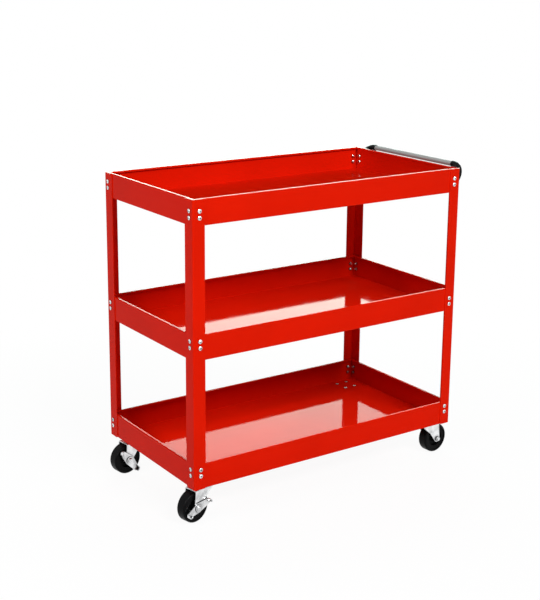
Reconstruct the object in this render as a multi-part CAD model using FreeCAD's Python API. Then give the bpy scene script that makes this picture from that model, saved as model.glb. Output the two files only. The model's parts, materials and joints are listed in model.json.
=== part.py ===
import FreeCAD, Part
import math
import os

# Rolling service cart: three sheet-steel trays bolted inside four angle-iron corner posts, on four
# swivel casters, with a tube handle on one end.
# Millimetres. +X runs along the cart towards the handle end, -Y is the front, +Z is up. The origin is
# on the floor, under the centre of the frame.

# ---------------------------------------------------------------- driving sizes: frame and trays
LENGTH = 762.0              # over the corner posts, along X
WIDTH = 406.0               # over the corner posts, along Y
TRAY_PITCH = 302.0          # from one tray to the next
TRAY_WALL = 59.0            # height of each tray

POST_SHEET = 2.0            # thickness of the angle iron
POST_FOLD = 1.0             # inside radius of the angle iron
FLANGE_SIDE = 30.0          # post flange on the front and back faces
FLANGE_END = 34.0           # post flange on the end faces
POST_TIP = 4.0              # rounding at the free corners of each flange

TRAY_SHEET = 1.2            # thickness of the tray steel
TRAY_BEND = 0.8             # inside radius of the tray's folds
LIP = 7.0                   # depth of the lip turned inwards round the rim
LIP_DROP = 4.5              # height of the lip's folded edge
SEAM = 0.4                  # open joint between two walls at a tray corner
CORNER_CUT = 1.6            # tray corner cut away, clear of the bend in the post

# ---------------------------------------------------------------- driving sizes: frame screws
SCREW = 5.0                 # thread diameter
SCREW_PLAY = 0.4            # a hole is this much wider than its screw
THREAD_PLAY = 0.1           # a nut's bore is this much wider than its screw
SCREW_TIP = 2.0             # screw standing out of its nut
HEAD = 9.5                  # pan head diameter
HEAD_RISE = 2.8             # pan head height
HEAD_CROWN = 0.3            # flat on a rivet's or bolt's rounded head, against its diameter
RECESS_LENGTH = 5.4         # cross recess in the head
RECESS_WIDTH = 1.3
RECESS_DEPTH = 1.7
NUT_FLATS = 8.0             # hexagon nut, across its flats
NUT = 4.0                   # nut thickness
SIDE_HOLE = 17.0            # post corner to the screws in the front and back faces
END_HOLE = 15.0             # post corner to the screws in the end faces
HOLE_PITCH = 15.0           # the two screws of a pair, one above the other

# A tray's rim down to the upper screw of each pair. The holes aren't level from post to post.
HOLE_DROPS = {
    "top": {"front_left": 26.0, "back_left": 21.0, "front_right": 24.0, "back_right": 24.0},
    "middle": {"front_left": 14.0, "back_left": 16.0, "front_right": 26.0, "back_right": 23.0},
    "bottom": {"front_left": 12.0, "back_left": 17.0, "front_right": 11.0, "back_right": 22.0},
}

# ---------------------------------------------------------------- driving sizes: handle
HANDLE_TUBE = 12.7          # outside diameter
HANDLE_TUBE_WALL = 1.2
HANDLE_REACH = 23.0         # end face of the frame to the tube's axis
HANDLE_RISE = 1.5           # rim to the tube's axis
HANDLE_GRIP = 300.0         # tube showing between the two brackets
SOCKET_DEPTH = 10.0         # tube held in each bracket
SOCKET_PLAY = 0.1           # on the diameter
SOCKET_FLOOR = 0.5          # bottom of the socket to the tube's end
MOUTH_ROUND = 0.8
ARM = 15.5                  # diameter of the bracket's curved arm
ARM_STRAIGHT = 4.0          # from the arm's mouth to where its curve starts
ARM_FOOT_OUT = 2.0          # end face to the centre of the arm's foot
ARM_FOOT_ASIDE = 3.0        # screws to the arm's foot, towards the corner
ARM_FOOT_DROP = 27.0        # rim down to the arm's foot
PAD = 4.0                   # bracket pad thickness
PAD_WIDTH = 26.0
PAD_MARGIN = 8.0            # screws to the pad's edge, towards the corner
PAD_TOP = 2.0               # rim down to the pad's top edge
PAD_BOTTOM = 53.0           # rim down to the pad's bottom edge
PAD_ROUND = 6.0
BOSS = 12.0                 # width of the raised block over the screws
BOSS_DEPTH = 8.0            # end face to the block's face
BOSS_ROUND = 1.2
BLIND_HOLE = 7.0            # depth of the screws' holes in the bracket
HANDLE_THREAD = 6.5         # screw thread held in each of them

# ---------------------------------------------------------------- driving sizes: casters
WHEEL = 75.0                # wheel diameter
WHEEL_GAP = 2.05            # tread to the fork's top
TREAD = 26.0                # tyre width
TYRE_SHOULDER = 4.5         # rounding of the tread's edges
TYRE_STEP = 31.0            # radius of the step in the sidewall
TYRE_STEP_DEPTH = 1.5
CORE = 25.5                 # radius where the tyre meets the hub
HUB_RIM = 21.5              # inner radius of the hub's rim
HUB_RIM_WIDTH = 22.0
HUB_WEB = 9.0
HUB_BOSS = 11.0             # radius of the boss round the axle
HUB_BOSS_LENGTH = 29.0
KING_X = 52.0               # post corner to the king rivet, along X
KING_Y = 42.0               # post corner to the king rivet, along Y
TRAIL = 38.0                # king rivet to the axle, level
PLATE_X = 48.0              # mounting plate
PLATE_Y = 58.0
PLATE = 2.5
PLATE_ROUND = 5.0
PLATE_HOLES_X = 32.0
PLATE_HOLES_Y = 38.0
PLATE_SKIRT = 18.5          # outside radius of the ring that covers the balls
PLATE_SKIRT_WALL = 1.5
PLATE_SKIRT_DROP = 4.0
BALL = 6.35
BALL_COUNT = 12
BALL_RING = 13.0            # radius of the ring of balls
BALL_PLAY = 0.3             # between a ball and each of its races
FORK_SHEET = 2.5
FORK_DISC = 17.5            # radius of the fork's top round the king rivet
FORK_GAP = 31.0             # between the fork's legs
FORK_REAR = 6.0             # the fork's top reaches this far behind the axle
FORK_FRONT = 8.0            # the legs start this far ahead of the king rivet
FORK_FOLD = 5.0             # the leg's edges run straight down this far, past the fold
FORK_KNEE_AHEAD = 24.0      # axle to the knee in the leg's front edge
FORK_KNEE_RISE = 18.0
FORK_EYE = 9.0              # radius of the leg's end round the axle
FORK_BEND = 3.0             # outside radius where the legs fold down
KING = 10.0                 # king rivet diameter
KING_HEAD = 17.0
KING_HEAD_DEPTH = 2.5
TURN_PLAY = 0.08            # radial running clearance on a rivet, lever or bush
END_PLAY = 0.3              # axial running clearance
PRESS_PLAY = 0.02           # radial clearance where a piece is pressed in
AXLE = 6.0
AXLE_HEAD = 12.0
AXLE_HEAD_RISE = 2.6
AXLE_NUT_FLATS = 10.0
AXLE_NUT = 5.5
AXLE_TIP = 1.5
BUSH_DIAMETER = 10.0        # spacer tube between the fork's legs, on which the hub turns

# ---------------------------------------------------------------- driving sizes: wheel brakes
LEVER = 2.0                 # thickness of the stamped lever
LEVER_WAIST = 12.0          # radius of the lever round the axle
LEVER_FOOT_AHEAD = 30.0     # axle to the foot end, with the brake off
LEVER_FOOT_RISE = 7.5
LEVER_FOOT_EYE = 7.0
LEVER_HEEL_BEHIND = 26.0    # axle to the heel end, which is pushed down to free the wheel
LEVER_HEEL_DROP = 10.0
LEVER_HEEL_EYE = 6.5
LEVER_TRAVEL = 68.0         # degrees that the lever turns to lock the wheel
FOOT_TAB = 8.0              # width of the foot tab, outwards
FOOT_TAB_FROM = 50.0        # degrees of the foot end's rim that the tab follows
FOOT_TAB_TO = 200.0
HEEL_TAB = 5.0              # width of the heel tab, outwards
HEEL_TAB_FROM = -150.0      # degrees of the heel end's rim that the tab follows
HEEL_TAB_TO = 20.0
SHOULDER = 9.0              # diameter of the axle bolt where the lever turns on it
CAM_RING = 18.0             # ring that the lever's hub presses out against
CAM_RING_DEPTH = 1.5

# Each caster's corner, which way it trails, in degrees round +Z from +X, and how far its brake is on.
NO_BRAKE = None
CASTERS = {
    "front_left": (-1, -1, 192.0, 0.0),
    "back_left": (-1, 1, 187.0, LEVER_TRAVEL),
    "front_right": (1, -1, 4.0, NO_BRAKE),
    "back_right": (1, 1, -14.0, NO_BRAKE),
}

# ---------------------------------------------------------------- sizes that follow
HALF_LENGTH = LENGTH / 2
HALF_WIDTH = WIDTH / 2
WHEEL_RADIUS = WHEEL / 2
FORK_UNDER = WHEEL + WHEEL_GAP
FORK_TOP = FORK_UNDER + FORK_SHEET
PLATE_UNDER = FORK_TOP + BALL + 2 * BALL_PLAY
CASTER_HEIGHT = PLATE_UNDER + PLATE
POST_LENGTH = 2 * TRAY_PITCH + TRAY_WALL
RIM = CASTER_HEIGHT + POST_LENGTH
TRAY_LEVELS = {
    "bottom": CASTER_HEIGHT,
    "middle": CASTER_HEIGHT + TRAY_PITCH,
    "top": CASTER_HEIGHT + 2 * TRAY_PITCH,
}
TRAY_LENGTH = LENGTH - 2 * POST_SHEET
TRAY_WIDTH = WIDTH - 2 * POST_SHEET
TRAY_FOLD = TRAY_SHEET + TRAY_BEND
HANDLE_X = HALF_LENGTH + HANDLE_REACH
HANDLE_Z = RIM + HANDLE_RISE
LEG_INSIDE = FORK_GAP / 2
LEG_OUTSIDE = LEG_INSIDE + FORK_SHEET
LEVER_INSIDE = LEG_OUTSIDE + END_PLAY
SHOULDER_END = LEVER_INSIDE + LEVER + END_PLAY

UP = FreeCAD.Vector(0, 0, 1)
ORIGIN = FreeCAD.Vector(0, 0, 0)


# ---------------------------------------------------------------- helpers
def vector(x, y, z):
    return FreeCAD.Vector(x, y, z)


def box(x0, x1, y0, y1, z0, z1):
    return Part.makeBox(x1 - x0, y1 - y0, z1 - z0, vector(x0, y0, z0))


def rod(radius, start, direction, length):
    return Part.makeCylinder(radius, length, start, direction)


def joined(shapes):
    whole = shapes[0].multiFuse(shapes[1:]) if len(shapes) > 1 else shapes[0]
    return whole.removeSplitter()


def outline(points):
    """A closed wire. A point is (a, b), or (a, b, through a, through b) where an arc leads to it."""
    edges = []
    last = vector(*points[-1][:2], 0)
    for point in points:
        here = vector(*point[:2], 0)
        if len(point) == 4:
            edges.append(Part.Arc(last, vector(*point[2:], 0), here).toShape())
        else:
            edges.append(Part.LineSegment(last, here).toShape())
        last = here
    return Part.Wire(edges)


def bend(centre_a, centre_b, radius, degrees):
    """A point on a circle, such as the one halfway round a quarter bend."""
    turn = math.radians(degrees)
    return (centre_a + radius * math.cos(turn), centre_b + radius * math.sin(turn))


def prism(points, start, length):
    """An outline in X and Y, raised along Z."""
    face = Part.Face(outline(points))
    face.translate(vector(0, 0, start))
    return face.extrude(vector(0, 0, length))


def side_plate(points, start, length):
    """An outline in X and Z, given thickness along +Y."""
    face = Part.Face(outline(points))
    face.rotate(ORIGIN, vector(1, 0, 0), 90)
    face.translate(vector(0, start, 0))
    return face.extrude(vector(0, length, 0))


def turned(points):
    """Points of (radius, height), turned about the Z axis."""
    face = Part.Face(outline(points))
    face.rotate(ORIGIN, vector(1, 0, 0), 90)
    return face.revolve(ORIGIN, UP, 360)


def dome(diameter, base, rise):
    """A rounded rivet head's outline in (radius, height), from its rim to the axis."""
    crown = diameter * HEAD_CROWN / 2
    shoulder = (diameter * 0.4, base + rise * 0.65)
    return [(diameter / 2, base), (crown, base + rise, *shoulder), (0, base + rise)]


def reversed_head(points):
    """The same head outline, from the axis to its rim."""
    rim, crown, top = points
    return [top, crown[:2], (*rim, *crown[2:])]


def along_y(shape):
    """A shape turned about Z, laid with that axis along +Y."""
    laid = shape.copy()
    laid.rotate(ORIGIN, vector(1, 0, 0), -90)
    return laid


def seated(shape, point, outward):
    """A fastener made with its head above Z = 0, put on a face that looks outward."""
    placed = shape.copy()
    turn = FreeCAD.Rotation(UP, outward)
    placed.Placement = FreeCAD.Placement(point, turn)
    return placed


def mirrored(shape, sign_x, sign_y):
    image = shape
    if sign_x < 0:
        image = image.mirror(ORIGIN, vector(1, 0, 0))
    if sign_y < 0:
        image = image.mirror(ORIGIN, vector(0, 1, 0))
    return image


def link(x0, z0, r0, x1, z1, r1, start, thickness):
    """A flat bar along two round ends, in X and Z, given thickness along +Y."""
    heading = math.atan2(z1 - z0, x1 - x0)
    reach = math.hypot(x1 - x0, z1 - z0)
    lean = math.acos((r0 - r1) / reach)

    def rim(x, z, radius, angle):
        return (x + radius * math.cos(angle), z + radius * math.sin(angle))

    left_far = rim(x1, z1, r1, heading + lean)
    left_near = rim(x0, z0, r0, heading + lean)
    right_near = rim(x0, z0, r0, heading - lean)
    right_far = rim(x1, z1, r1, heading - lean)
    back = rim(x0, z0, r0, heading + math.pi)
    nose = rim(x1, z1, r1, heading)
    return side_plate([left_near, (*right_near, *back), right_far, (*left_far, *nose)], start, thickness)


# ---------------------------------------------------------------- fasteners
def pan_screw(diameter, length, head, rise):
    """A pan-head screw with a cross recess: head above Z = 0, thread below."""
    brow = rise * 0.45
    body = turned([
        (0, -length),
        (diameter / 2, -length),
        (diameter / 2, 0),
        (head / 2, 0),
        (head / 2, brow),
        (0, rise, head * 0.3, rise * 0.86),
    ])
    floor = rise - RECESS_DEPTH
    half = RECESS_LENGTH / 2
    slot = RECESS_WIDTH / 2
    cross = [box(-half, half, -slot, slot, floor, rise + 1), box(-slot, slot, -half, half, floor, rise + 1)]
    return body.cut(joined(cross))


def hex_nut(flats, thickness, bore):
    """A hexagon nut standing on Z = 0, its corners turned off on top."""
    corner = flats / math.sqrt(3)
    points = [bend(0, 0, corner, 60 * i) for i in range(6)]
    turned_off = (corner - flats / 2) * 0.6
    blank = turned([
        (0, 0),
        (corner, 0),
        (corner, thickness - turned_off),
        (flats / 2, thickness),
        (0, thickness),
    ])
    return prism(points, 0, thickness).common(blank).cut(rod(bore / 2, ORIGIN, UP, thickness))


def screw_heights(level, post):
    """The two screw heights of one tray in one post, measured from the floor."""
    upper = TRAY_LEVELS[level] + TRAY_WALL - HOLE_DROPS[level][post]
    return (upper, upper - HOLE_PITCH)


def screw_spots(level, posts):
    """Where screws enter: (point on the post's outer face, direction it looks), for the posts asked for."""
    spots = []
    for post in posts:
        sign_x, sign_y = CASTERS[post][:2]
        for z in screw_heights(level, post):
            side = vector(sign_x * (HALF_LENGTH - SIDE_HOLE), sign_y * HALF_WIDTH, z)
            end = vector(sign_x * HALF_LENGTH, sign_y * (HALF_WIDTH - END_HOLE), z)
            spots.append((side, vector(0, sign_y, 0)))
            spots.append((end, vector(sign_x, 0, 0)))
    return spots


def handle_spots(posts):
    """The spots of the top tray whose screws hold the handle's brackets as well."""
    return [spot for spot in screw_spots("top", posts) if spot[1].x > 0]


def tray_spots(level):
    """The spots of one tray, apart from those that the handle's screws take."""
    spots = screw_spots(level, CASTERS)
    if level == "top":
        spots = [spot for spot in spots if spot[1].x <= 0]
    return spots


def drilled(shape, spots, depth):
    """Screw holes through a shape, from outside the frame inwards."""
    radius = (SCREW + SCREW_PLAY) / 2
    holes = [rod(radius, point + outward, outward * -1, depth + 1) for point, outward in spots]
    return shape.cut(Part.makeCompound(holes))


# ---------------------------------------------------------------- frame
def corner_post(name):
    """An angle iron whose outer corner is the corner of the frame."""
    sign_x, sign_y = CASTERS[name][:2]
    outer = POST_SHEET + POST_FOLD
    outer_bend = bend(outer, outer, outer, 225)
    inner_bend = bend(outer, outer, POST_FOLD, 225)
    section = [
        (0, outer),
        (outer, 0, *outer_bend),
        (FLANGE_SIDE, 0),
        (FLANGE_SIDE, POST_SHEET),
        (outer, POST_SHEET),
        (POST_SHEET, outer, *inner_bend),
        (POST_SHEET, FLANGE_END),
        (0, FLANGE_END),
    ]
    post = prism(section, CASTER_HEIGHT, POST_LENGTH)
    tips = []
    for edge in post.Edges:
        spot = edge.CenterOfMass
        free = spot.x > FLANGE_SIDE - 0.01 or spot.y > FLANGE_END - 0.01
        at_end = min(abs(spot.z - CASTER_HEIGHT), abs(spot.z - RIM)) < 0.01
        if free and at_end and abs(edge.Length - POST_SHEET) < 0.01:
            tips.append(edge)
    post = post.makeFillet(POST_TIP, tips)
    post.translate(vector(-HALF_LENGTH, -HALF_WIDTH, 0))
    post = mirrored(post, -sign_x, -sign_y)
    for level in TRAY_LEVELS:
        post = drilled(post, screw_spots(level, [name]), POST_SHEET + 1)
    return post


def tray_wall(length):
    """One folded wall, its outer face at Y = 0 and the tray on its +Y side, with mitred ends."""
    top = TRAY_WALL
    lip_bend = LIP - TRAY_FOLD
    section = [
        (TRAY_FOLD, 0),
        (0, TRAY_FOLD, *bend(TRAY_FOLD, TRAY_FOLD, TRAY_FOLD, 225)),
        (0, top - TRAY_FOLD),
        (TRAY_FOLD, top, *bend(TRAY_FOLD, top - TRAY_FOLD, TRAY_FOLD, 135)),
        (lip_bend, top),
        (LIP, top - TRAY_FOLD, *bend(lip_bend, top - TRAY_FOLD, TRAY_FOLD, 45)),
        (LIP, top - LIP_DROP),
        (LIP - TRAY_SHEET, top - LIP_DROP),
        (LIP - TRAY_SHEET, top - TRAY_FOLD),
        (lip_bend, top - TRAY_SHEET, *bend(lip_bend, top - TRAY_FOLD, TRAY_BEND, 45)),
        (TRAY_FOLD, top - TRAY_SHEET),
        (TRAY_SHEET, top - TRAY_FOLD, *bend(TRAY_FOLD, top - TRAY_FOLD, TRAY_BEND, 135)),
        (TRAY_SHEET, TRAY_FOLD),
        (TRAY_FOLD, TRAY_SHEET, *bend(TRAY_FOLD, TRAY_FOLD, TRAY_BEND, 225)),
    ]
    face = Part.Face(outline(section))
    face.rotate(ORIGIN, vector(1, 1, 1), 120)
    half = length / 2
    face.translate(vector(-half, 0, 0))
    wall = face.extrude(vector(length, 0, 0))
    cut_depth = (CORNER_CUT - SEAM) / 2
    cut_reach = (CORNER_CUT + SEAM) / 2
    deep = LIP + 1
    keep = [
        (half - CORNER_CUT, 0),
        (half - cut_reach, cut_depth),
        (half - deep - SEAM, deep),
        (SEAM + deep - half, deep),
        (cut_reach - half, cut_depth),
        (CORNER_CUT - half, 0),
    ]
    return wall.common(prism(keep, 0, TRAY_WALL))


def tray(level):
    """A folded tray: floor, four walls with mitred corners, and a lip turned in round the rim."""
    half_x = TRAY_LENGTH / 2
    half_y = TRAY_WIDTH / 2
    flat_x = half_x - TRAY_FOLD
    flat_y = half_y - TRAY_FOLD
    shapes = [box(-flat_x, flat_x, -flat_y, flat_y, 0, TRAY_SHEET)]
    for turn, length, away in ((0, TRAY_LENGTH, half_y), (90, TRAY_WIDTH, half_x),
                               (180, TRAY_LENGTH, half_y), (270, TRAY_WIDTH, half_x)):
        wall = tray_wall(length)
        wall.translate(vector(0, -away, 0))
        wall.rotate(ORIGIN, UP, turn)
        shapes.append(wall)
    whole = joined(shapes)
    whole.translate(vector(0, 0, TRAY_LEVELS[level]))
    whole = drilled(whole, screw_spots(level, CASTERS), POST_SHEET + TRAY_SHEET + 1)
    if level == "bottom":
        radius = (SCREW + SCREW_PLAY) / 2
        holes = [rod(radius, point - UP, UP, TRAY_SHEET + 2) for point in plate_bolt_spots()]
        whole = whole.cut(Part.makeCompound(holes))
    return whole


def screws_at(spots):
    length = POST_SHEET + TRAY_SHEET + NUT + SCREW_TIP
    screw = pan_screw(SCREW, length, HEAD, HEAD_RISE)
    return Part.makeCompound([seated(screw, point, outward) for point, outward in spots])


def nuts_at(spots):
    nut = hex_nut(NUT_FLATS, NUT, SCREW + THREAD_PLAY)
    depth = POST_SHEET + TRAY_SHEET
    nuts = [seated(nut, point - outward * depth, outward * -1) for point, outward in spots]
    return Part.makeCompound(nuts)


# ---------------------------------------------------------------- handle
def handle_tube():
    half = HANDLE_GRIP / 2 + SOCKET_DEPTH - SOCKET_FLOOR
    start = vector(HANDLE_X, -half, HANDLE_Z)
    outside = rod(HANDLE_TUBE / 2, start, vector(0, 1, 0), 2 * half)
    return outside.cut(rod(HANDLE_TUBE / 2 - HANDLE_TUBE_WALL, start, vector(0, 1, 0), 2 * half))


def bracket_pad(screws_y):
    """The pad on the end face, over the post's flange, with rounded corners."""
    y0 = screws_y - PAD_MARGIN
    plate = box(HALF_LENGTH, HALF_LENGTH + PAD, y0, y0 + PAD_WIDTH, RIM - PAD_BOTTOM, RIM - PAD_TOP)
    corners = [edge for edge in plate.Edges if abs(edge.Length - PAD) < 0.01]
    return plate.makeFillet(PAD_ROUND, corners)


def bracket_boss(feet):
    """A raised block with round ends, one over each screw."""
    ahead = vector(1, 0, 0)
    y = feet[0].y
    top = max(foot.z for foot in feet)
    bottom = min(foot.z for foot in feet)
    ends = [rod(BOSS / 2, foot, ahead, BOSS_DEPTH) for foot in feet]
    middle = box(HALF_LENGTH, HALF_LENGTH + BOSS_DEPTH, y - BOSS / 2, y + BOSS / 2, bottom, top)
    block = joined([middle, *ends])
    face = HALF_LENGTH + BOSS_DEPTH
    rim = [edge for edge in block.Edges if abs(edge.BoundBox.XMin - face) < 0.01]
    return block.makeFillet(BOSS_ROUND, rim)


def bracket_arm(screws_y):
    """A round arm that leaves the pad outwards and upwards, and turns until it runs along the tube."""
    foot = vector(HALF_LENGTH + ARM_FOOT_OUT, screws_y - ARM_FOOT_ASIDE, RIM - ARM_FOOT_DROP)
    tip = vector(HANDLE_X, -HANDLE_GRIP / 2 - ARM_STRAIGHT, HANDLE_Z)
    ahead = vector(0, 1, 0)
    chord = tip - foot
    span = chord.Length
    chord.normalize()
    half_turn = math.acos(chord.dot(ahead))
    radius = span / 2 / math.sin(half_turn)
    start = chord * (2 * chord.dot(ahead)) - ahead
    axis = start.cross(ahead)
    axis.normalize()
    centre = foot + axis.cross(start) * radius
    profile = Part.Face(Part.Wire(Part.makeCircle(ARM / 2, foot, start)))
    curve = profile.revolve(centre, axis, math.degrees(2 * half_turn))
    mouth = rod(ARM / 2, tip, ahead, ARM_STRAIGHT)
    heel = Part.makeSphere(ARM / 2, foot)
    return [curve, mouth, heel]


def handle_bracket(post):
    """A moulded bracket: pad, raised block, and the curved arm whose mouth holds one end of the tube.

    It is made on the front side, and mirrored for the back.
    """
    feet = [vector(point.x, -abs(point.y), point.z) for point, _ in handle_spots([post])]
    screws_y = feet[0].y
    bracket = joined([bracket_pad(screws_y), bracket_boss(feet), *bracket_arm(screws_y)])
    inside = box(HALF_LENGTH - ARM, HALF_LENGTH, -HALF_WIDTH - ARM, 0, RIM - PAD_BOTTOM, RIM + ARM)
    bracket = bracket.cut(inside)
    mouth = -HANDLE_GRIP / 2
    lips = [edge for edge in bracket.Edges if edge.Closed and abs(edge.CenterOfMass.y - mouth) < 0.01]
    bracket = bracket.makeFillet(MOUTH_ROUND, lips)
    bore = (HANDLE_TUBE + SOCKET_PLAY) / 2
    holes = [rod(bore, vector(HANDLE_X, mouth - SOCKET_DEPTH, HANDLE_Z), vector(0, 1, 0), SOCKET_DEPTH + 1)]
    holes += [rod((SCREW + THREAD_PLAY) / 2, foot, vector(1, 0, 0), BLIND_HOLE) for foot in feet]
    bracket = bracket.cut(Part.makeCompound(holes))
    return mirrored(bracket, 1, -CASTERS[post][1])


def handle_screws():
    """Screws from inside the top tray, through wall and post into the brackets."""
    inside = POST_SHEET + TRAY_SHEET
    screw = pan_screw(SCREW, inside + HANDLE_THREAD, HEAD, HEAD_RISE)
    screws = []
    for point, outward in handle_spots(CASTERS):
        screws.append(seated(screw, point - outward * inside, outward * -1))
    return Part.makeCompound(screws)


# ---------------------------------------------------------------- casters
# Each caster piece is made with the king rivet on the Z axis and the wheel trailing towards +X.
def king_point(name):
    sign_x, sign_y = CASTERS[name][:2]
    return vector(sign_x * (HALF_LENGTH - KING_X), sign_y * (HALF_WIDTH - KING_Y), 0)


def plate_holes(height):
    """The four bolt holes of a caster's plate, round the king rivet, at a height."""
    corners = ((-1, -1), (-1, 1), (1, -1), (1, 1))
    return [vector(a * PLATE_HOLES_X / 2, b * PLATE_HOLES_Y / 2, height) for a, b in corners]


def plate_bolt_spots():
    """Holes for the caster bolts, on the underside of the bottom tray."""
    return [king_point(name) + hole for name in CASTERS for hole in plate_holes(CASTER_HEIGHT)]


def caster_plate():
    plate = box(-PLATE_X / 2, PLATE_X / 2, -PLATE_Y / 2, PLATE_Y / 2, PLATE_UNDER, CASTER_HEIGHT)
    corners = [edge for edge in plate.Edges if abs(edge.Length - PLATE) < 0.01]
    plate = plate.makeFillet(PLATE_ROUND, corners)
    skirt = turned([
        (PLATE_SKIRT - PLATE_SKIRT_WALL, PLATE_UNDER - PLATE_SKIRT_DROP),
        (PLATE_SKIRT, PLATE_UNDER - PLATE_SKIRT_DROP),
        (PLATE_SKIRT, PLATE_UNDER),
        (PLATE_SKIRT - PLATE_SKIRT_WALL, PLATE_UNDER),
    ])
    plate = joined([plate, skirt])
    holes = [turned([
        (0, PLATE_UNDER),
        (KING / 2 + PRESS_PLAY, PLATE_UNDER),
        (KING_HEAD / 2 + PRESS_PLAY, CASTER_HEIGHT),
        (0, CASTER_HEIGHT),
    ])]
    holes += [rod((SCREW + SCREW_PLAY) / 2, foot, UP, PLATE) for foot in plate_holes(PLATE_UNDER)]
    return plate.cut(Part.makeCompound(holes))


def king_rivet():
    """Countersunk in the plate, and headed under the fork, which turns on it."""
    head_top = FORK_UNDER - END_PLAY
    return turned([
        *reversed_head(dome(KING_HEAD, head_top, -KING_HEAD_DEPTH)),
        (KING / 2, head_top),
        (KING / 2, PLATE_UNDER),
        (KING_HEAD / 2, CASTER_HEIGHT),
        (0, CASTER_HEIGHT),
    ])


def race_balls():
    balls = []
    for i in range(BALL_COUNT):
        turn = 2 * math.pi * i / BALL_COUNT
        spot = vector(BALL_RING * math.cos(turn), BALL_RING * math.sin(turn), (PLATE_UNDER + FORK_TOP) / 2)
        balls.append(Part.makeSphere(BALL / 2, spot))
    return Part.makeCompound(balls)


def tangent(x, z, radius, side):
    """The angle round the axle where a line from a point touches a circle; side is 1 or -1."""
    towards = math.degrees(math.atan2(z - WHEEL_RADIUS, x - TRAIL))
    reach = math.hypot(x - TRAIL, z - WHEEL_RADIUS)
    return towards + side * math.degrees(math.acos(radius / reach))


def fork_leg():
    """One leg, in X and Z: wide under the top, narrowing past a knee to a round eye at the axle."""
    front = -FORK_FRONT
    knee = (TRAIL - FORK_KNEE_AHEAD, WHEEL_RADIUS + FORK_KNEE_RISE)
    rear = TRAIL + FORK_REAR
    fold_end = FORK_TOP - FORK_FOLD
    lower = tangent(*knee, FORK_EYE, 1)
    upper = tangent(rear, fold_end, FORK_EYE, -1) + 360
    lowest = bend(TRAIL, WHEEL_RADIUS, FORK_EYE, (lower + upper) / 2)
    return [
        (front, FORK_TOP),
        (front, fold_end),
        knee,
        bend(TRAIL, WHEEL_RADIUS, FORK_EYE, lower),
        (*bend(TRAIL, WHEEL_RADIUS, FORK_EYE, upper), *lowest),
        (rear, fold_end),
        (rear, FORK_TOP),
    ]


def fork():
    """A stamped fork: a flat top that turns on the king rivet, and two legs folded down to the axle."""
    rear = TRAIL + FORK_REAR
    bridge = box(0, rear, -LEG_OUTSIDE, LEG_OUTSIDE, FORK_UNDER, FORK_TOP)
    front = box(-FORK_FRONT, 0, -LEG_OUTSIDE, LEG_OUTSIDE, FORK_UNDER, FORK_TOP)
    disc = rod(FORK_DISC, vector(0, 0, FORK_UNDER), UP, FORK_SHEET)
    legs = [side_plate(fork_leg(), start, FORK_SHEET) for start in (-LEG_OUTSIDE, LEG_INSIDE)]
    blank = joined([bridge, front, disc, *legs])
    folds = []
    for edge in blank.Edges:
        spot = edge.CenterOfMass
        on_top = abs(spot.z - FORK_TOP) < 0.01
        on_side = abs(abs(spot.y) - LEG_OUTSIDE) < 0.01
        if on_top and on_side and edge.Curve.TypeId == "Part::GeomLine":
            folds.append(edge)
    blank = blank.makeFillet(FORK_BEND, folds)
    across = vector(0, 1, 0)
    axle_start = vector(TRAIL, -LEG_OUTSIDE, WHEEL_RADIUS)
    axle_hole = rod(AXLE / 2 + PRESS_PLAY, axle_start, across, 2 * LEG_OUTSIDE)
    king_hole = rod(KING / 2 + TURN_PLAY, vector(0, 0, FORK_UNDER), UP, FORK_SHEET)
    return blank.cut(Part.makeCompound([axle_hole, king_hole]))


def at_axle(shape):
    placed = shape.copy()
    placed.translate(vector(TRAIL, 0, WHEEL_RADIUS))
    return placed


def axle_bolt(braked):
    """A round-headed bolt through the fork's legs, its head on the +Y side.

    On a braked caster it has a shoulder outside the leg, for the lever, and a ring under its head.
    """
    tip = LEG_OUTSIDE + AXLE_NUT + AXLE_TIP
    stem = [(0, -tip), (AXLE / 2, -tip), (AXLE / 2, LEG_OUTSIDE)]
    seat = LEG_OUTSIDE
    if braked:
        seat = SHOULDER_END + CAM_RING_DEPTH
        stem += [(SHOULDER / 2, LEG_OUTSIDE), (SHOULDER / 2, SHOULDER_END), (AXLE / 2, SHOULDER_END)]
        stem += [(AXLE / 2, seat)]
    return at_axle(along_y(turned([*stem, *dome(AXLE_HEAD, seat, AXLE_HEAD_RISE)])))


def axle_nut():
    nut = hex_nut(AXLE_NUT_FLATS, AXLE_NUT, AXLE + THREAD_PLAY)
    return seated(nut, vector(TRAIL, -LEG_OUTSIDE, WHEEL_RADIUS), vector(0, -1, 0))


def axle_bush():
    length = FORK_GAP
    tube = turned([
        (AXLE / 2 + PRESS_PLAY, -length / 2),
        (BUSH_DIAMETER / 2, -length / 2),
        (BUSH_DIAMETER / 2, length / 2),
        (AXLE / 2 + PRESS_PLAY, length / 2),
    ])
    return at_axle(along_y(tube))


def hub():
    """A moulded wheel centre: boss on the bush, web, and the rim that carries the tyre."""
    bore = BUSH_DIAMETER / 2 + TURN_PLAY
    half = [
        (bore, HUB_BOSS_LENGTH / 2),
        (HUB_BOSS, HUB_BOSS_LENGTH / 2),
        (HUB_BOSS, HUB_WEB / 2),
        (HUB_RIM, HUB_WEB / 2),
        (HUB_RIM, HUB_RIM_WIDTH / 2),
        (CORE, HUB_RIM_WIDTH / 2),
    ]
    other = [(radius, -height) for radius, height in reversed(half)]
    return at_axle(along_y(turned(half + other)))


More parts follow.
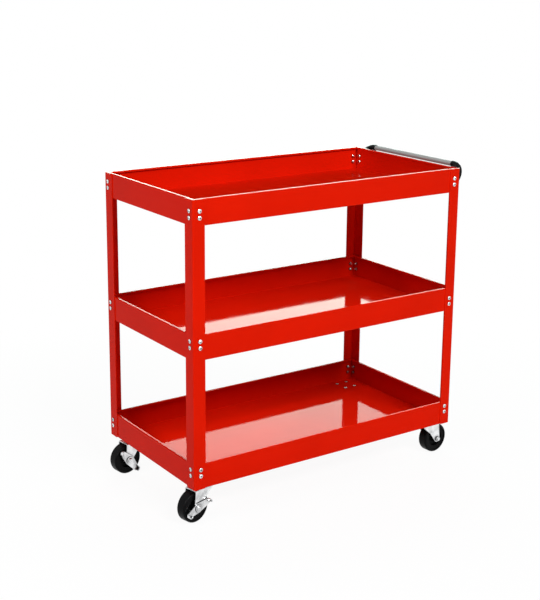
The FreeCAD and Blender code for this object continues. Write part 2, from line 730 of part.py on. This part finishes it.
def tyre():
    """A solid tyre with a stepped sidewall and rounded shoulders."""
    step = TREAD / 2 - TYRE_STEP_DEPTH
    half = [
        (CORE, step),
        (TYRE_STEP, step),
        (TYRE_STEP, TREAD / 2),
        (WHEEL_RADIUS, TREAD / 2),
    ]
    other = [(radius, -height) for radius, height in reversed(half)]
    ring = turned(half + other)
    shoulder = min(TYRE_SHOULDER, WHEEL_RADIUS - TYRE_STEP - 0.2)
    edges = [edge for edge in ring.Edges
             if edge.Curve.TypeId == "Part::GeomCircle" and abs(edge.Curve.Radius - WHEEL_RADIUS) < 0.01]
    ring = ring.makeFillet(shoulder, edges)
    return at_axle(along_y(ring))


# ---------------------------------------------------------------- brakes
def rim_tab(x, z, radius, first, last, start, width):
    """A flange along part of a round end, in X and Z from one angle to another, given width along +Y."""
    middle = (first + last) / 2
    inner = radius - LEVER
    points = [
        (*bend(x, z, inner, first), *bend(x, z, inner, middle)),
        bend(x, z, radius, first),
        (*bend(x, z, radius, last), *bend(x, z, radius, middle)),
        bend(x, z, inner, last),
    ]
    return side_plate(points, start, width)


def brake_lever(travel):
    """A stamped lever on the axle, with a foot end and a heel end, turned from off towards locked."""
    foot = (TRAIL - LEVER_FOOT_AHEAD, WHEEL_RADIUS + LEVER_FOOT_RISE, LEVER_FOOT_EYE)
    heel = (TRAIL + LEVER_HEEL_BEHIND, WHEEL_RADIUS - LEVER_HEEL_DROP, LEVER_HEEL_EYE)
    waist = (TRAIL, WHEEL_RADIUS, LEVER_WAIST)
    arms = [link(*waist, *end, LEVER_INSIDE, LEVER) for end in (foot, heel)]
    foot_tab = rim_tab(*foot, FOOT_TAB_FROM, FOOT_TAB_TO, LEVER_INSIDE, LEVER + FOOT_TAB)
    heel_tab = rim_tab(*heel, HEEL_TAB_FROM, HEEL_TAB_TO, LEVER_INSIDE, LEVER + HEEL_TAB)
    lever = joined([*arms, foot_tab, heel_tab])
    across = vector(0, 1, 0)
    axle = vector(TRAIL, LEVER_INSIDE, WHEEL_RADIUS)
    lever = lever.cut(rod(SHOULDER / 2 + TURN_PLAY, axle, across, LEVER))
    lever.rotate(axle, across, -travel)
    return lever


def cam_ring():
    """The ring under the axle bolt's head, which the lever's hub presses against to squeeze the fork."""
    ring = turned([
        (AXLE / 2 + PRESS_PLAY, SHOULDER_END),
        (CAM_RING / 2, SHOULDER_END),
        (CAM_RING / 2, SHOULDER_END + CAM_RING_DEPTH),
        (AXLE / 2 + PRESS_PLAY, SHOULDER_END + CAM_RING_DEPTH),
    ])
    return at_axle(along_y(ring))


# ---------------------------------------------------------------- the whole cart
def caster_nodes(name):
    """Every piece of one caster, turned to its trailing direction and put under its corner."""
    turn = CASTERS[name][2]
    brake = CASTERS[name][3]
    braked = brake is not NO_BRAKE
    turning = {
        "king_rivet": king_rivet(),
        "race_balls": race_balls(),
        "fork": fork(),
        "axle_bolt": axle_bolt(braked),
        "axle_nut": axle_nut(),
        "axle_bush": axle_bush(),
        "hub": hub(),
        "tyre": tyre(),
    }
    if braked:
        turning["brake_lever"] = brake_lever(brake)
        turning["brake_cam_ring"] = cam_ring()
    nodes = {"caster_plate_" + name: caster_plate()}
    for piece, shape in turning.items():
        shape.rotate(ORIGIN, UP, turn)
        nodes[piece + "_" + name] = shape
    for shape in nodes.values():
        shape.translate(king_point(name))
    return nodes


def caster_bolts():
    length = TRAY_SHEET + PLATE + NUT + SCREW_TIP / 2
    bolt = pan_screw(SCREW, length, HEAD, HEAD_RISE)
    return Part.makeCompound([seated(bolt, point + UP * TRAY_SHEET, UP) for point in plate_bolt_spots()])


def caster_nuts():
    nut = hex_nut(NUT_FLATS, NUT, SCREW + THREAD_PLAY)
    return Part.makeCompound([seated(nut, point - UP * PLATE, UP * -1) for point in plate_bolt_spots()])


def all_nodes():
    nodes = {}
    for level in TRAY_LEVELS:
        nodes["tray_" + level] = tray(level)
        nodes["tray_screws_" + level] = screws_at(tray_spots(level))
        nodes["tray_nuts_" + level] = nuts_at(tray_spots(level))
    for name in CASTERS:
        nodes["post_" + name] = corner_post(name)
        nodes.update(caster_nodes(name))
    nodes["caster_bolts"] = caster_bolts()
    nodes["caster_nuts"] = caster_nuts()
    nodes["handle_tube"] = handle_tube()
    nodes["handle_bracket_front"] = handle_bracket("front_right")
    nodes["handle_bracket_back"] = handle_bracket("back_right")
    nodes["handle_screws"] = handle_screws()
    return nodes


def main():
    os.makedirs("parts", exist_ok=True)
    for node, shape in all_nodes().items():
        shape.exportStep(os.path.join("parts", node + ".step"))
        print(node, len(shape.Solids), "solids,", round(shape.Volume), "mm3, valid", shape.isValid())


main()
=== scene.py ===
import json
import math

import bpy
from mathutils import Matrix, Vector


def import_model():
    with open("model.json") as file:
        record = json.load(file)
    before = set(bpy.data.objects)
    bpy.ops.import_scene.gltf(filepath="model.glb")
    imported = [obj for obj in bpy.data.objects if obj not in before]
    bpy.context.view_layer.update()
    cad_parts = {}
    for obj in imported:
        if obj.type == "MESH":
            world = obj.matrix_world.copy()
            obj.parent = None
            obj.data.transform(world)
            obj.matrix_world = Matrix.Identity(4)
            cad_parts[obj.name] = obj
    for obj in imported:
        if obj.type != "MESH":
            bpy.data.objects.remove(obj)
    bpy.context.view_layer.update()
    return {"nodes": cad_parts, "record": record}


# Looks of a three-tray service cart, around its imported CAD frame. Metres, +Z up, front towards -Y.
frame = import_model()

# ---------------------------------------------------------------- camera
# The view is set by where the camera stands, which way it looks and how long its lens is.
CAMERA_AT = Vector((-1.674, -2.377, 1.255))
CAMERA_YAW = 34.55          # degrees from +Y towards +X
CAMERA_PITCH = 13.67        # degrees below the horizon
CAMERA_ROLL = 0.53          # degrees about the line of sight
CAMERA_LENS = 73.21         # millimetres
CAMERA_SENSOR = 36.0        # millimetres
CAMERA_SHIFT = (-0.003, -0.08)

# ---------------------------------------------------------------- colours, linear
RED = (0.68, 0.010, 0.0012)
RED_GLOSS = (1.0, 0.2, 0.2)
ZINC = (0.80, 0.81, 0.82)
# near-black painted shade for the zinc's recesses and the gaps between close pieces
RECESS_SHADE = (0.03, 0.03, 0.03)
STEEL = (0.55, 0.55, 0.56)
TUBE = (0.34, 0.35, 0.345)
PLASTIC = (0.002, 0.002, 0.0022)
RUBBER = (0.002, 0.002, 0.0022)
PAPER_SEEN = (0.93, 0.93, 0.93)
PAPER_BOUNCE = (0.8, 0.8, 0.8)
PANEL = (0.66, 0.92, 0.82)

# ---------------------------------------------------------------- studio
FLOOR_HALF = 40.0           # half of the floor's side
SHADOW_CORE = 0.5           # the floor's soft shadow is deepest up to this far from the cart's middle
SHADOW_END = 1.4            # and ends this far from it
CART_MIDDLE = (0, 0, 0.42)
TOP_TRAY = (0, 0, 0.7)

# ---------------------------------------------------------------- sockets of a colour Mix node
MIX_FACTOR = 0
MIX_FIRST = 6
MIX_SECOND = 7
MIX_RESULT = 2


# ---------------------------------------------------------------- node helpers
def set_input(node, name, value):
    node.inputs[name].default_value = value


def new_material(name, metallic=0.0):
    """A material with one Principled shader; returns it with its tree and shader."""
    material = bpy.data.materials.new(name)
    material.use_nodes = True
    tree = material.node_tree
    shader = next(node for node in tree.nodes if node.type == "BSDF_PRINCIPLED")
    set_input(shader, "Metallic", metallic)
    return material, tree, shader


def place(tree, stretch=(1, 1, 1)):
    """Coordinates in metres that move with the piece, for patterns that may be stretched along an axis."""
    coordinates = tree.nodes.new("ShaderNodeTexCoord")
    mapping = tree.nodes.new("ShaderNodeMapping")
    set_input(mapping, "Scale", stretch)
    tree.links.new(coordinates.outputs["Object"], mapping.inputs["Vector"])
    return mapping.outputs["Vector"]


def noise(tree, vector, scale, detail):
    """A cloudy pattern around 0.5, with so many clouds to the metre."""
    texture = tree.nodes.new("ShaderNodeTexNoise")
    set_input(texture, "Scale", scale)
    set_input(texture, "Detail", detail)
    set_input(texture, "Roughness", 0.55)
    tree.links.new(vector, texture.inputs["Vector"])
    return texture.outputs["Fac"]


def spread(tree, value, low=0.0, high=1.0, start=0.3, end=0.7):
    """A value's run from start to end, stretched to run from low to high, and held there beyond."""
    ranged = tree.nodes.new("ShaderNodeMapRange")
    set_input(ranged, "From Min", start)
    set_input(ranged, "From Max", end)
    set_input(ranged, "To Min", low)
    set_input(ranged, "To Max", high)
    tree.links.new(value, ranged.inputs["Value"])
    return ranged.outputs["Result"]


def mixed(tree, factor, first, second):
    """A colour that runs from the first to the second with a factor; the second may be a pattern."""
    mix = tree.nodes.new("ShaderNodeMix")
    mix.data_type = "RGBA"
    mix.inputs[MIX_FIRST].default_value = (*first, 1)
    if isinstance(second, tuple):
        mix.inputs[MIX_SECOND].default_value = (*second, 1)
    else:
        tree.links.new(second, mix.inputs[MIX_SECOND])
    tree.links.new(factor, mix.inputs[MIX_FACTOR])
    return mix.outputs[MIX_RESULT]


def scaled(color, factor):
    return tuple(min(1.0, part * factor) for part in color)


def crevices(tree, reach):
    """1 on open surfaces, falling towards 0 in recesses and between close pieces, where it sets painted
    shade.
    """
    shade = tree.nodes.new("ShaderNodeAmbientOcclusion")
    shade.samples = 12
    set_input(shade, "Distance", reach)
    return shade.outputs["AO"]


def vary_roughness(tree, shader, pattern, low, high):
    tree.links.new(spread(tree, pattern, low, high), shader.inputs["Roughness"])


def add_bump(tree, shader, pattern, strength, depth):
    bump = tree.nodes.new("ShaderNodeBump")
    set_input(bump, "Strength", strength)
    set_input(bump, "Distance", depth)
    tree.links.new(pattern, bump.inputs["Height"])
    tree.links.new(bump.outputs["Normal"], shader.inputs["Normal"])


# ---------------------------------------------------------------- materials
def powder_coat():
    """Glossy red powder coat: a faint orange peel, and a slight drift of depth over each sheet."""
    material, tree, shader = new_material("powder_coat")
    vector = place(tree)
    drift = spread(tree, noise(tree, vector, scale=5.0, detail=2.0))
    color = mixed(tree, drift, scaled(RED, 0.95), scaled(RED, 1.05))
    tree.links.new(color, shader.inputs["Base Color"])
    vary_roughness(tree, shader, noise(tree, vector, scale=22.0, detail=4.0), low=0.03, high=0.08)
    # A low index keeps the gloss to what is seen at a flat angle, such as the tray floors.
    set_input(shader, "IOR", 1.09)
    set_input(shader, "Specular Tint", (*RED_GLOSS, 1))
    orange_peel = noise(tree, vector, scale=420.0, detail=2.0)
    add_bump(tree, shader, orange_peel, strength=0.05, depth=0.0003)
    return material


def zinc():
    """Bright zinc plate on steel: a cloudy passivation, and painted shade in its recesses and between close
    pieces.
    """
    material, tree, shader = new_material("zinc", metallic=1.0)
    vector = place(tree)
    cloud = spread(tree, noise(tree, vector, scale=55.0, detail=4.0), start=0.35, end=0.6)
    plated = mixed(tree, cloud, scaled(ZINC, 0.68), scaled(ZINC, 1.12))
    # painted shade: the zinc turns near-black where ambient occlusion finds recesses and close neighbouring
    # pieces
    unshaded = spread(tree, crevices(tree, reach=0.008), start=0.5, end=1.0)
    tree.links.new(mixed(tree, unshaded, RECESS_SHADE, plated), shader.inputs["Base Color"])
    vary_roughness(tree, shader, noise(tree, vector, scale=260.0, detail=3.0), low=0.2, high=0.34)
    grain = noise(tree, vector, scale=900.0, detail=2.0)
    add_bump(tree, shader, grain, strength=0.12, depth=0.0002)
    return material


def bearing_steel():
    """Ground steel balls, greased."""
    material, tree, shader = new_material("bearing_steel", metallic=1.0)
    set_input(shader, "Base Color", (*STEEL, 1))
    vary_roughness(tree, shader, noise(tree, place(tree), scale=300.0, detail=2.0), low=0.08, high=0.2)
    return material


def handle_metal():
    """Dull plated tube, with fine drawing marks along it."""
    material, tree, shader = new_material("handle_metal", metallic=0.6)
    along_tube = place(tree, stretch=(1, 0.02, 1))
    streaks = spread(tree, noise(tree, along_tube, scale=1500.0, detail=3.0))
    color = mixed(tree, streaks, scaled(TUBE, 0.9), scaled(TUBE, 1.12))
    tree.links.new(color, shader.inputs["Base Color"])
    vary_roughness(tree, shader, noise(tree, place(tree), scale=60.0, detail=3.0), low=0.55, high=0.65)
    return material


def black_moulding(name, color, roughness, grain):
    """Moulded black plastic or rubber, a little dusty, with a fine grain."""
    material, tree, shader = new_material(name)
    vector = place(tree)
    dust = spread(tree, noise(tree, vector, scale=35.0, detail=4.0))
    tree.links.new(mixed(tree, dust, color, scaled(color, 1.7)), shader.inputs["Base Color"])
    set_input(shader, "IOR", 1.15)
    wear = noise(tree, vector, scale=160.0, detail=3.0)
    vary_roughness(tree, shader, wear, low=roughness - 0.05, high=roughness + 0.08)
    add_bump(tree, shader, noise(tree, vector, scale=grain, detail=2.0), strength=0.25, depth=0.0001)
    return material


MATERIALS = {
    "powder_coat": powder_coat(),
    "zinc": zinc(),
    "bearing_steel": bearing_steel(),
    "handle_metal": handle_metal(),
    "black_plastic": black_moulding("black_plastic", PLASTIC, roughness=0.34, grain=1400.0),
    "hub_plastic": black_moulding("hub_plastic", PLASTIC, roughness=0.42, grain=1100.0),
    "tyre": black_moulding("tyre", RUBBER, roughness=0.34, grain=700.0),
}


def dress_nodes():
    """Each CAD node takes the finish of its own slot in the record."""
    for row in frame["record"]["subparts"]:
        node = frame["nodes"][row["node"]]
        node.data.materials.clear()
        node.data.materials.append(MATERIALS[row["material_slot"]])


# ---------------------------------------------------------------- studio
def seen_directly(tree):
    """1 for rays of the camera, of reflections and of glass; 0 for rays that carry light."""
    path = tree.nodes.new("ShaderNodeLightPath")
    seen = path.outputs["Is Camera Ray"]
    for ray in ("Is Glossy Ray", "Is Transmission Ray"):
        either = tree.nodes.new("ShaderNodeMath")
        either.operation = "MAXIMUM"
        tree.links.new(seen, either.inputs[0])
        tree.links.new(path.outputs[ray], either.inputs[1])
        seen = either.outputs[0]
    return seen


def studio_paper():
    """White paper. Where it is seen it glows, a little less near the cart, so that the soft shadow stays."""
    material = bpy.data.materials.new("studio_paper")
    material.use_nodes = True
    tree = material.node_tree
    tree.nodes.clear()
    seen = seen_directly(tree)
    lit = tree.nodes.new("ShaderNodeBsdfDiffuse")
    tree.links.new(mixed(tree, seen, PAPER_BOUNCE, PAPER_SEEN), lit.inputs["Color"])
    glow = tree.nodes.new("ShaderNodeEmission")
    set_input(glow, "Color", (1, 1, 1, 1))
    distance = tree.nodes.new("ShaderNodeVectorMath")
    distance.operation = "LENGTH"
    tree.links.new(place(tree), distance.inputs[0])
    away = distance.outputs["Value"]
    share = tree.nodes.new("ShaderNodeMath")
    share.operation = "MULTIPLY"
    tree.links.new(spread(tree, away, low=0.94, high=1.0, start=SHADOW_CORE, end=SHADOW_END), share.inputs[0])
    tree.links.new(seen, share.inputs[1])
    mix = tree.nodes.new("ShaderNodeMixShader")
    tree.links.new(share.outputs[0], mix.inputs[0])
    tree.links.new(lit.outputs[0], mix.inputs[1])
    tree.links.new(glow.outputs[0], mix.inputs[2])
    out = tree.nodes.new("ShaderNodeOutputMaterial")
    tree.links.new(mix.outputs[0], out.inputs["Surface"])
    return material


def studio_floor():
    mesh = bpy.data.meshes.new("floor")
    corners = [(x * FLOOR_HALF, y * FLOOR_HALF, 0) for x, y in ((-1, -1), (1, -1), (1, 1), (-1, 1))]
    mesh.from_pydata(corners, [], [(0, 1, 2, 3)])
    floor = bpy.data.objects.new("floor", mesh)
    bpy.context.scene.collection.objects.link(floor)
    mesh.materials.append(studio_paper())


def area_light(name, at, towards, size, watts):
    data = bpy.data.lights.new(name, "AREA")
    data.shape = "RECTANGLE"
    data.size, data.size_y = size
    data.energy = watts
    lamp = bpy.data.objects.new(name, data)
    lamp.location = at
    heading = Vector(towards) - Vector(at)
    lamp.rotation_euler = heading.to_track_quat("-Z", "Y").to_euler()
    bpy.context.scene.collection.objects.link(lamp)
    return lamp


def lamps():
    """Two keys on the front and left faces, and a pale panel behind, which the tray floors mirror."""
    area_light("front_key", at=(0.0, -4.73, 4.05), towards=CART_MIDDLE, size=(2.4, 1.2), watts=280.0)
    area_light("left_key", at=(-2.75, -0.50, 1.95), towards=CART_MIDDLE, size=(1.4, 1.0), watts=44.0)
    panel = area_light("backlight", at=(1.42, 2.06, 1.12), towards=TOP_TRAY, size=(2.8, 0.7), watts=66.0)
    panel.data.color = PANEL
    panel.visible_camera = False


def world(light_level, seen_level):
    """An even surround; the camera and reflections see it as white."""
    surround = bpy.data.worlds.new("studio")
    bpy.context.scene.world = surround
    surround.use_nodes = True
    tree = surround.node_tree
    tree.nodes.clear()
    background = tree.nodes.new("ShaderNodeBackground")
    set_input(background, "Color", (1, 1, 1, 1))
    strength = spread(tree, seen_directly(tree), light_level, seen_level, start=0.0, end=1.0)
    tree.links.new(strength, background.inputs["Strength"])
    out = tree.nodes.new("ShaderNodeOutputWorld")
    tree.links.new(background.outputs[0], out.inputs["Surface"])


def camera():
    data = bpy.data.cameras.new("camera")
    data.lens = CAMERA_LENS
    data.sensor_width = CAMERA_SENSOR
    data.shift_x, data.shift_y = CAMERA_SHIFT
    seat = bpy.data.objects.new("camera", data)
    yaw = Matrix.Rotation(math.radians(-CAMERA_YAW), 4, "Z")
    pitch = Matrix.Rotation(math.radians(90 - CAMERA_PITCH), 4, "X")
    roll = Matrix.Rotation(math.radians(CAMERA_ROLL), 4, "Z")
    seat.matrix_world = Matrix.Translation(CAMERA_AT) @ yaw @ pitch @ roll
    bpy.context.scene.collection.objects.link(seat)
    bpy.context.scene.camera = seat


dress_nodes()
studio_floor()
world(light_level=0.02, seen_level=1.0)
lamps()
camera()
bpy.context.scene.view_settings.view_transform = "Standard"
